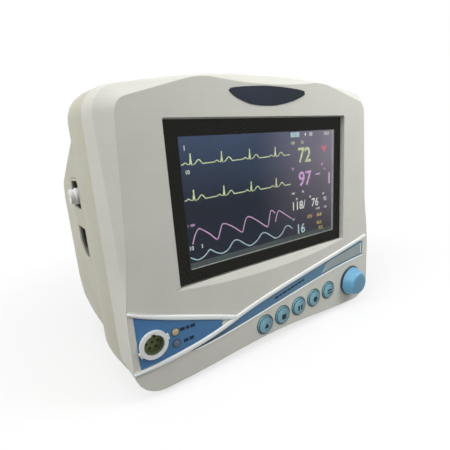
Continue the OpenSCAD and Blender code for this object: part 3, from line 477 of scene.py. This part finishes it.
BORDER_W, BORDER_THICK = 4.14, 0.05
PICTURE_W, PICTURE_THICK = 4.38, 0.03
border = Print()
outer = [(-86.7, -56.7), (86.7, -56.7), (86.7, 56.7), (-86.7, 56.7)]
window = [(-76.2, -47.0), (78.0, -47.0), (78.0, 45.8), (-76.2, 45.8)]
for i in range(4):
    j = (i + 1) % 4
    border.polygon([outer[i], outer[j], window[j], window[i]])
border.build("glass_border", BORDER_W, "glowing_ink", "glass", BORDER_THICK)

BEATS = (-68.2, -43.2, -18.0, 7.6)
TRACE_START, TRACE_END = -75.6, 23.6
# Lower and upper level of the two heartbeat traces, and the top of their thick spikes
HEART_TRACES = ((27.6, 34.8, 34.6), (3.2, 10.2, 10.0))


def heartbeats(base, top):
    """Trace with a small bump, a tall spike and a rounded wave for each beat."""
    path = [(TRACE_START, base)]
    for x in BEATS:
        path += smooth_path([(x - 6, base), (x - 4.4, base + 1.1), (x - 2.6, base)], 3)
        path += [(x - 1.0, base - 0.4), (x, top), (x + 0.7, base - 0.9)]
        path += smooth_path([(x + 3, base), (x + 6.2, base + 2.6), (x + 9, base - 0.3)], 4)
    return [*path, (TRACE_END, base - 0.1)]


PULSE = [
    (-72.6, -28.2), (-70.4, -22.4), (-67.4, -18.2), (-64.8, -18.6), (-58, -23.6), (-53.6, -28),
    (-51.6, -28.6), (-49.6, -24.5), (-47.4, -19), (-45.6, -18.2), (-43, -18.8), (-36, -23), (-31, -27),
    (-28.6, -27.6), (-26.6, -22), (-24.4, -17.6), (-22, -17), (-19.6, -17.8), (-12, -22.8), (-5.4, -27.8),
    (-3, -28), (-1.2, -22), (0.4, -16.4), (2.2, -16), (5, -18.6),
]
PULSE_END = [(5.2, -26.2), (6.8, -21), (8.8, -17.6), (11, -18), (17, -22), (23.8, -26.6)]
BREATH = [
    (-75.4, -37.6), (-72, -39.6), (-68.6, -40.6), (-64, -39), (-60.4, -36), (-58.6, -35.3), (-55, -38),
    (-50.6, -40.2), (-47, -40.4), (-42.6, -38.4), (-39, -34.4), (-36.4, -33), (-33, -33.6), (-28, -37.4),
    (-23.4, -40.2), (-20, -40.2), (-14.6, -37.6), (-11, -34), (-8.6, -32.8), (-5, -33.6), (-1, -36.4),
    (3.6, -39.6), (7.4, -40), (12.4, -37.4), (15.4, -33.4), (18, -32), (20.4, -32.4), (24.4, -35.6),
]
HEART = [
    (65.2, 27.0), (68.0, 30.2), (68.2, 31.6), (67.4, 32.4), (66.2, 32.3), (65.2, 31.4),
    (64.2, 32.3), (63.0, 32.4), (62.2, 31.6), (62.4, 30.2),
]
# Paths and their width
TRACES = {
    "green": [(heartbeats(base, top), 0.75) for base, top, _ in HEART_TRACES],
    "pink": [(smooth_path(PULSE, 3), 0.8), (smooth_path(PULSE_END, 4), 0.8)],
    "cyan": [(smooth_path(BREATH, 3), 0.8)],
}
# Left, lower, right and upper edge
BOXES = {
    "green": [(x - 0.5, base, x + 0.5, top) for x in BEATS for base, _, top in HEART_TRACES],
    "pink": [(64.6, 11.6, 66.4, 13.0), (54, 7.8, 60, 9.0), (70.8, -1.8, 73, 8.6)],
    "cyan": [(24.8, 41.2, 34.6, 45.0)],
    "grey": [(75.4, -46.2, 76.9, 45.6), (-75.6, -46.9, 76.9, -46.1)],
    "strip": [(-75.8, -45.9, 75.0, -42.0)],
}
# Made-up numbers, their lower left corner and their height
NUMBERS = {
    "green": [("72", 33.0, 20.4, 12.2), ("100", 25, 35.4, 2.4), ("50", 36.5, 35.6, 2.4)],
    "pink": [
        ("97", 33.0, 0.4, 12.2), ("1", -75, -15.4, 1.8), ("000", -73, -15.4, 1.8), ("95", 25, 14.4, 2.2),
        ("80", 61, 15.6, 1.9),
    ],
    "cyan": [("16", 31, -41.6, 8.6), ("25", 24.6, -28.6, 2.0)],
    "white": [
        ("118/", 25.6, -19.8, 7.2), ("76", 48.6, -19.8, 7.2), ("92", 64.2, -16.6, 3.4),
        ("4", 40.6, 41.6, 3.0), ("08", 46.4, 41.6, 3.0), ("10:24", 64.6, 41.8, 2.6),
        ("1", -72.4, 36.8, 3.2), ("10", -72.6, 21.0, 2.8), ("140", 24.6, -6.2, 2.0),
        ("90", 36.6, -6.0, 2.0), ("20", 29.2, -11.4, 1.9), ("60", 45.6, -11.4, 1.9),
        ("50", 62.8, -11.0, 1.9), ("10:00", 54, -23.6, 1.9), ("120", 65, -23.6, 1.9),
        ("10", -75.2, -32.4, 3.0), ("2", -66, -32.2, 2.4),
    ],
    "yellow": [
        ("37.0", 43, -29.8, 2.8), ("36.8", 55, -30, 3.0), ("36.5", 55, -37.4, 3.0), ("0.3", 58, -43.0, 3.2),
    ],
}
for tag in ("green", "pink", "cyan", "white", "yellow", "red", "grey", "strip"):
    art = Print()
    for path, width in TRACES.get(tag, []):
        art.line(path, width)
    for box in BOXES.get(tag, []):
        art.rect(*box)
    for row in NUMBERS.get(tag, []):
        art.number(*row)
    if tag == "red":
        art.polygon(HEART)
    art.build("picture_" + tag, PICTURE_W, "glow_" + tag, "screen", PICTURE_THICK)


# Rounded swoosh ridges over the shell's raised bands

BAND_WIDTH = 3.2
RIDGE_HALF, RIDGE_RISE = 2.05, 1.2
LOW_HALF, LOW_RISE = 0.8, 0.5


def ridge(name, line, half, rise, before=0.0, after=0.0, taper=0.0):
    """Half-round bead along a line, slimmer over the first part of it and let run on at its ends."""
    facets, end_size, sunk, root = 12, 0.86, 0.05, 0.4
    if before:
        line = [line[0] + (line[0] - line[1]).normalized() * before, *line]
    if after:
        line = [*line, line[-1] + (line[-1] - line[-2]).normalized() * after]
    last = len(line) - 1
    verts, faces = [], []
    for i, p in enumerate(line):
        d = (line[min(i + 1, last)] - line[max(i - 1, 0)]).normalized()
        n = Vector((-d.y, d.x))
        size = end_size if i in (0, last) else 1.0
        wide = half * min(1.0, 0.5 + 0.5 * i / (last * taper)) if taper else half
        for k in range(facets + 1):
            u = -1 + 2 * k / facets
            q = p + n * wide * u * size
            verts.append(at(q.x, sunk - rise * size * (1 - abs(u) ** 3) ** 0.5, q.y))
        verts.append(at(p.x, root, p.y))
    m = facets + 2
    for i in range(last):
        for k in range(m):
            a, b = i * m + k, i * m + (k + 1) % m
            faces.append([a, b, b + m, a + m])
    faces.append(list(range(m - 1, -1, -1)))
    faces.append([last * m + k for k in range(m)])
    piece(name, verts, faces, "ridge", "shell", smooth=True)


def lowered(line, drop):
    return [p - Vector((0, drop)) for p in line]


# The lines follow those of the solids
main_line = bezier((-126, -105), (-97, -106), (-65, -101), (-42, -93), 16)
main_line += bezier((-38, -91.8), (0, -81), (70, -71), (122, -60), 28)
side_line = bezier((-125, -61), (-105, -72), (-75, -80), (-44, -92.6), 22)
stripe_top = bezier((-86, -107), (-45, -100), (40, -76), (119, -66), 240)
stripe_low = bezier((-86, -107), (-40, -107), (45, -84), (119, -81), 240)
corner_top = bezier((-122.5, -66.5), (-105, -75.5), (-80, -83.5), (-54, -93.5), 60)
corner_low = bezier((-122.5, -102.5), (-95, -102.5), (-75, -99.5), (-54, -93.5), 60)

on_main, on_side = lowered(main_line, BAND_WIDTH / 2), lowered(side_line, BAND_WIDTH / 2)
ridge("ridge_main", on_main, RIDGE_HALF, RIDGE_RISE, before=0.9, after=0.8, taper=0.12)
ridge("ridge_side", on_side, RIDGE_HALF, RIDGE_RISE, before=0.9, after=3.0, taper=0.45)
ridge("ridge_low", lowered(stripe_low[8::8], 0.75), LOW_HALF, LOW_RISE)


# Thin printing on the face

PRINT_W, PRINT_THICK = -0.01, 0.03
RING_THICK = 0.04


def strip_film(name, top, low, xs, mat):
    """Printed film between two lines, each with an offset, a quad for each step along them."""
    art = Print()
    edges = [(x, height_at(low[0], x) + low[1], height_at(top[0], x) + top[1]) for x in xs]
    for (x0, low0, top0), (x1, low1, top1) in zip(edges, edges[1:]):
        art.polygon([(x0, low0), (x1, low1), (x1, top1), (x0, top0)])
    art.build(name, PRINT_W, mat, "blue", PRINT_THICK)


# How far the films lap over the overlays, and reach under the ridges
LAP, UNDER = 0.1, 0.4
panel_xs = [-122.2 + 2 * i for i in range(34)]
stripe_xs = [-60 + 4 * i for i in range(45)]
strip_film("panel_film_low", (corner_low, LAP), (main_line, -0.6), panel_xs, "panel")
strip_film("panel_film_top", (side_line, UNDER - BAND_WIDTH), (corner_top, -LAP), panel_xs, "panel")
strip_film("stripe_film", (main_line, UNDER - BAND_WIDTH), (stripe_top, -LAP), stripe_xs, "stripe")


def dashes(art, start, end, widths, thick):
    """A row of short strokes along a slanting line, in place of a label."""
    gap = 0.8
    start, end = Vector(start), Vector(end)
    along = (end - start) / (sum(widths) + gap * (len(widths) - 1))
    done = 0.0
    for width in widths:
        art.line([start + along * done, start + along * (done + width)], thick)
        done += width + gap


labels = Print()
dashes(labels, (-91.3, -86.6), (-79.3, -86.9), (3.2, 2.2, 3.4), 2.5)
dashes(labels, (-89.3, -96.4), (-81.1, -96.0), (3.6, 3.6), 2.5)
labels.build("panel_marks", PRINT_W, "mark", "blue", PRINT_THICK)

stripe_marks = Print()
dashes(stripe_marks, (-2.1, -91.8), (33.5, -84.6), (4, 3, 5, 3, 4, 3, 4, 3), 1.7)
stripe_marks.build("stripe_marks", PRINT_W, "mark", "blue", PRINT_THICK)

# Dark rings printed on the face round the keys: painted shadow of the gaps about them.
key_rims = Print()
for i in range(5):
    key_rims.annulus(*middle(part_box("key_%d" % (i + 1))), 8.35, 8.95)
key_rims.build("key_rims", PRINT_W, "rim", "key", RING_THICK)

lamp_rims = Print()
for name in ("power_lamp", "battery_lamp"):
    lamp_rims.annulus(*middle(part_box(name)), 2.85, 3.5, 32)
lamp_rims.build("lamp_rims", PRINT_W, "lamp_rim", "blue", RING_THICK)

# Blank cover film of the badge plate, with blunt ends
BADGE_W, BADGE_THICK = 0.02, 0.55
BADGE = [
    (-35.8, 74.7), (-34.0, 76.4), (-21, 77.8), (-2.5, 78.5), (17, 78.2), (34.6, 76.5), (36.5, 74.7),
    (35.5, 72.8), (24, 68.6), (9.8, 65.9), (-3.5, 65.0), (-16, 65.8), (-25, 68.2), (-32.6, 71.6),
]
badge = Print()
badge.polygon(smooth_path([*BADGE, BADGE[0]], 5)[-2::-1])
badge.build("badge_film", BADGE_W, "navy", "navy", BADGE_THICK)


# Liner of the ECG socket

def sleeve(name, x, v, inner, outer, w0, w1, mat, slot):
    """Short tube about an axis square to the face, with a rounded inner edge at its front."""
    sides = 64
    section = ((inner, w1), (inner, w0 + 0.15), (inner + 0.12, w0), (outer, w0), (outer, w1))
    n = len(section)
    verts, faces = [], []
    for i in range(sides):
        turn = 2 * math.pi * i / sides
        verts += [at(x + r * math.cos(turn), w, v + r * math.sin(turn)) for r, w in section]
        a, b = n * i, n * ((i + 1) % sides)
        for k in range(n):
            j = (k + 1) % n
            faces.append([a + k, a + j, b + j, b + k])
    piece(name, verts, faces, mat, slot)


sleeve("socket_liner", *middle(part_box("ecg_insert")), 6.75, 7.2, -1.7, 2.48, "olive", "green")


# Ribs, end with a painted highlight, and slanting tip of the alarm lens

LENS_W = -0.19
RIB_WIDTH, RIB_STEP = 0.7, 1.5
lens_left, lens_right = (p.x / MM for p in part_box("alarm_lens"))


def low_edge(x, inset):
    return x, height_at(stripe_low, x) + inset


def top_edge(x, inset):
    return x, height_at(stripe_top, x) - inset


ribs = Print()
rib = lens_left + 1.2
while rib < lens_right - 2.6:
    ribs.rect(*low_edge(rib, 2.5), rib + RIB_WIDTH, top_edge(rib, 2.5)[1])
    rib += RIB_STEP
ribs.build("lens_ribs", LENS_W, "lens", "lens", 0.14)

# Light bar at the lens's right end: its end cap, lightened as a painted highlight.
lens_end_highlight = Print()
end_x = lens_right - 1.8
lens_end_highlight.rect(*low_edge(end_x, 2.4), end_x + 1.3, top_edge(end_x, 2.4)[1])
lens_end_highlight.build("lens_end_highlight", LENS_W, "white", "lens", 0.2)

lens_tip = Print()
lens_tip.polygon([
    low_edge(lens_left - 5.0, 2.1), low_edge(lens_left + 2.6, 2.1),
    top_edge(lens_left + 2.6, 2.1), top_edge(lens_left + 1.4, 2.1),
])
lens_tip.build("lens_tip", -0.05, "lens", "lens", 0.22)


# Plain marks, and painted shade on the round edges of the domed key caps

def oblong(x0, z0, x1, z1):
    return [(x0, z0), (x1, z0), (x1, z1), (x0, z1)]


KEY_ICONS = {
    "key_1": [[(-1.6, -1.0), (1.6, -1.0), (0, 2.0)]],
    "key_2": [oblong(-1.5, -1.5, 1.5, 1.5)],
    "key_3": [oblong(-1.7, -1.5, -0.5, 1.5), oblong(0.5, -1.5, 1.7, 1.5)],
    "key_4": [[(1.7 * math.cos(a), 1.7 * math.sin(a)) for a in (i * math.pi / 8 for i in range(16))]],
    "key_5": [oblong(-1.8, 0.4, 1.8, 1.4), oblong(-1.8, -1.4, 1.8, -0.4)],
}
ICON_SCALE, ICON_X, ICON_Z = 1.6, -0.3, -0.6
ICON_RINGS = (1.0, 0.7, 0.4)
SHADE_RING_RADII = (7.0, 7.4, 7.75)
SHADE_RING_STEPS = 64
CAP_THICK, CAP_CLEAR = 0.06, 0.01


def fine(outline, step=0.5):
    """The outline with extra points along its sides."""
    out = []
    for a, b in zip(outline, [*outline[1:], outline[0]]):
        a, b = Vector(a), Vector(b)
        n = max(1, math.ceil((b - a).length / step))
        out += [a + (b - a) * i / n for i in range(n)]
    return out


def cap_surface(name):
    """Function that lays a point, in millimetres from the key's middle, on its cap."""
    low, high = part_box(name)
    mid = (low + high) / 2
    cap = nodes[name].data
    tree = BVHTree.FromPolygons([v.co for v in cap.vertices], [p.vertices for p in cap.polygons])

    def on_cap(x, z):
        start = Vector((mid.x + x * MM, low.y - 20 * MM, mid.z + z * MM))
        return tree.ray_cast(start, Vector((0, 1, 0)))[0] - Vector((0, CAP_CLEAR * MM, 0))

    return on_cap


def key_icon(name, shapes, on_cap):
    """Filled shapes draped over a cap in rings, so that they follow its dome."""
    verts, faces = [], []
    for shape in shapes:
        line = fine([(ICON_SCALE * x + ICON_X, ICON_SCALE * z + ICON_Z) for x, z in shape])
        mid = sum(line, Vector((0, 0))) / len(line)
        base, n = len(verts), len(line)
        for k in ICON_RINGS:
            verts += [on_cap(*(mid + (p - mid) * k)) for p in line]
        verts.append(on_cap(*mid))
        for i in range(n):
            j = (i + 1) % n
            for r in (base, base + n):
                faces.append([r + i, r + j, r + n + j, r + n + i])
            faces.append([base + 2 * n + i, base + 2 * n + j, base + 3 * n])
    return piece(name + "_icon", verts, faces, "icon", "key", body=name)


def key_shade_ring(name, on_cap):
    """Dark ring of painted shade on the round edge of a cap."""
    verts, faces = [], []
    n = len(SHADE_RING_RADII)
    for i in range(SHADE_RING_STEPS):
        turn = 2 * math.pi * i / SHADE_RING_STEPS
        verts += [on_cap(r * math.cos(turn), r * math.sin(turn)) for r in SHADE_RING_RADII]
        a, b = n * i, n * ((i + 1) % SHADE_RING_STEPS)
        faces += [[a + r, a + r + 1, b + r + 1, b + r] for r in range(n - 1)]
    return piece(name + "_edge", verts, faces, "rim", "key", body=name, smooth=True)


for name, shapes in KEY_ICONS.items():
    on_cap = cap_surface(name)
    for made in (key_icon(name, shapes, on_cap), key_shade_ring(name, on_cap)):
        thicken(made, CAP_THICK, 0.0)


# Floor, light and camera

FLOOR_HALF = 3.0
# The floor turns white to the camera between these distances from the object, in metres
SHADED, WHITE = 0.16, 0.42
# Share of white close to the object, where the shadow lies
NEAR_WHITE = 0.7
# Grey of the floor for other rays, and for those that see it
FLOOR_TONES = (0.3, 0.9)
WORLD_STRENGTH = 0.14


def clear_rays(tree):
    """1 for the rays that should meet a white background: from the camera, gloss or glass."""
    path = tree.nodes.new("ShaderNodeLightPath")
    seen = path.outputs["Is Camera Ray"]
    for ray in ("Is Glossy Ray", "Is Transmission Ray"):
        both = tree.nodes.new("ShaderNodeMath")
        both.operation = "MAXIMUM"
        tree.links.new(seen, both.inputs[0])
        tree.links.new(path.outputs[ray], both.inputs[1])
        seen = both.outputs[0]
    return seen


def floor_mat():
    """Pale floor: white to the camera further out, and shaded by the object close to it."""
    m = Mat("floor")
    m.set(Roughness=0.9, Specular_IOR_Level=0.1)
    seen = clear_rays(m.tree)
    tone = m.add("ShaderNodeMix")
    tone.data_type = "RGBA"
    for socket, grey in zip(tone.inputs[6:8], FLOOR_TONES):
        socket.default_value = (grey, grey, grey, 1)
    m.link(seen, tone.inputs["Factor"])
    m.paint(tone.outputs[2])
    far = m.add("ShaderNodeVectorMath")
    far.operation = "LENGTH"
    m.link(m.coord.outputs["Object"], far.inputs[0])
    share = m.ramp(far.outputs["Value"], NEAR_WHITE, 1.0, SHADED, WHITE)
    share.node.interpolation_type = "SMOOTHSTEP"
    part = m.add("ShaderNodeMath")
    part.operation = "MULTIPLY"
    m.link(seen, part.inputs[0])
    m.link(share, part.inputs[1])
    mix = m.add("ShaderNodeMixShader")
    m.link(part.outputs[0], mix.inputs[0])
    m.link(m.shader.outputs[0], mix.inputs[1])
    m.link(m.add("ShaderNodeEmission", Strength=1.0).outputs[0], mix.inputs[2])
    m.link(mix.outputs[0], m.tree.nodes["Material Output"].inputs["Surface"])
    return m.mat


floor_mesh = bpy.data.meshes.new("floor")
corners = [(x * FLOOR_HALF, y * FLOOR_HALF, 0) for x, y in ((-1, -1), (1, -1), (1, 1), (-1, 1))]
floor_mesh.from_pydata(corners, [], [[0, 1, 2, 3]])
floor_mesh.materials.append(floor_mat())
floor = bpy.data.objects.new("floor", floor_mesh)
scene.collection.objects.link(floor)

world = bpy.data.worlds.new("studio")
scene.world = world
world.use_nodes = True
sky = world.node_tree
choose = sky.nodes.new("ShaderNodeMixShader")
sky.links.new(clear_rays(sky), choose.inputs[0])
backs = (sky.nodes["Background"], WORLD_STRENGTH), (sky.nodes.new("ShaderNodeBackground"), 1.0)
for socket, (back, strength) in zip(choose.inputs[1:], backs):
    back.inputs["Color"].default_value = (1, 1, 1, 1)
    back.inputs["Strength"].default_value = strength
    sky.links.new(back.outputs[0], socket)
sky.links.new(choose.outputs[0], sky.nodes["World Output"].inputs["Surface"])

# Name, place, target, size in metres and power in watts
LAMPS = (
    ("overhead", (-0.25, -0.15, 1.15), (0, 0, 0.11), 1.3, 8.6),
    ("left_soft", (-1.25, -0.25, 0.95), (-0.08, 0, 0.16), 0.9, 11),
    ("right_soft", (0.36, -0.42, 0.45), (0.08, -0.08, 0.1), 0.3, 2.1),
)
for name, place, target, size, power in LAMPS:
    light = bpy.data.lights.new(name, "AREA")
    light.shape = "RECTANGLE"
    light.size = light.size_y = size
    light.energy = power
    lamp = bpy.data.objects.new(name, light)
    scene.collection.objects.link(lamp)
    lamp.location = place
    lamp.rotation_euler = (Vector(target) - Vector(place)).to_track_quat("-Z", "Y").to_euler()

# Camera solved from the edges of the glass and the lit display
RIGHT = Vector((0.835372, -0.545109, -0.070779))
FORWARD = Vector((0.517804, 0.823584, -0.231491))
EYE = (-169.15, GLASS_RECESS - 196.93, 36.33)
camera = bpy.data.cameras.new("camera")
camera.sensor_fit = "HORIZONTAL"
camera.sensor_width = 36
camera.lens = 25.7074
camera.clip_start = 0.01
eye = bpy.data.objects.new("camera", camera)
scene.collection.objects.link(eye)
turn = Matrix((RIGHT, RIGHT.cross(FORWARD), -FORWARD)).transposed().to_4x4()
eye.matrix_world = Matrix.Translation(at(*EYE)) @ turn
scene.camera = eye

scene.view_settings.view_transform = "Standard"
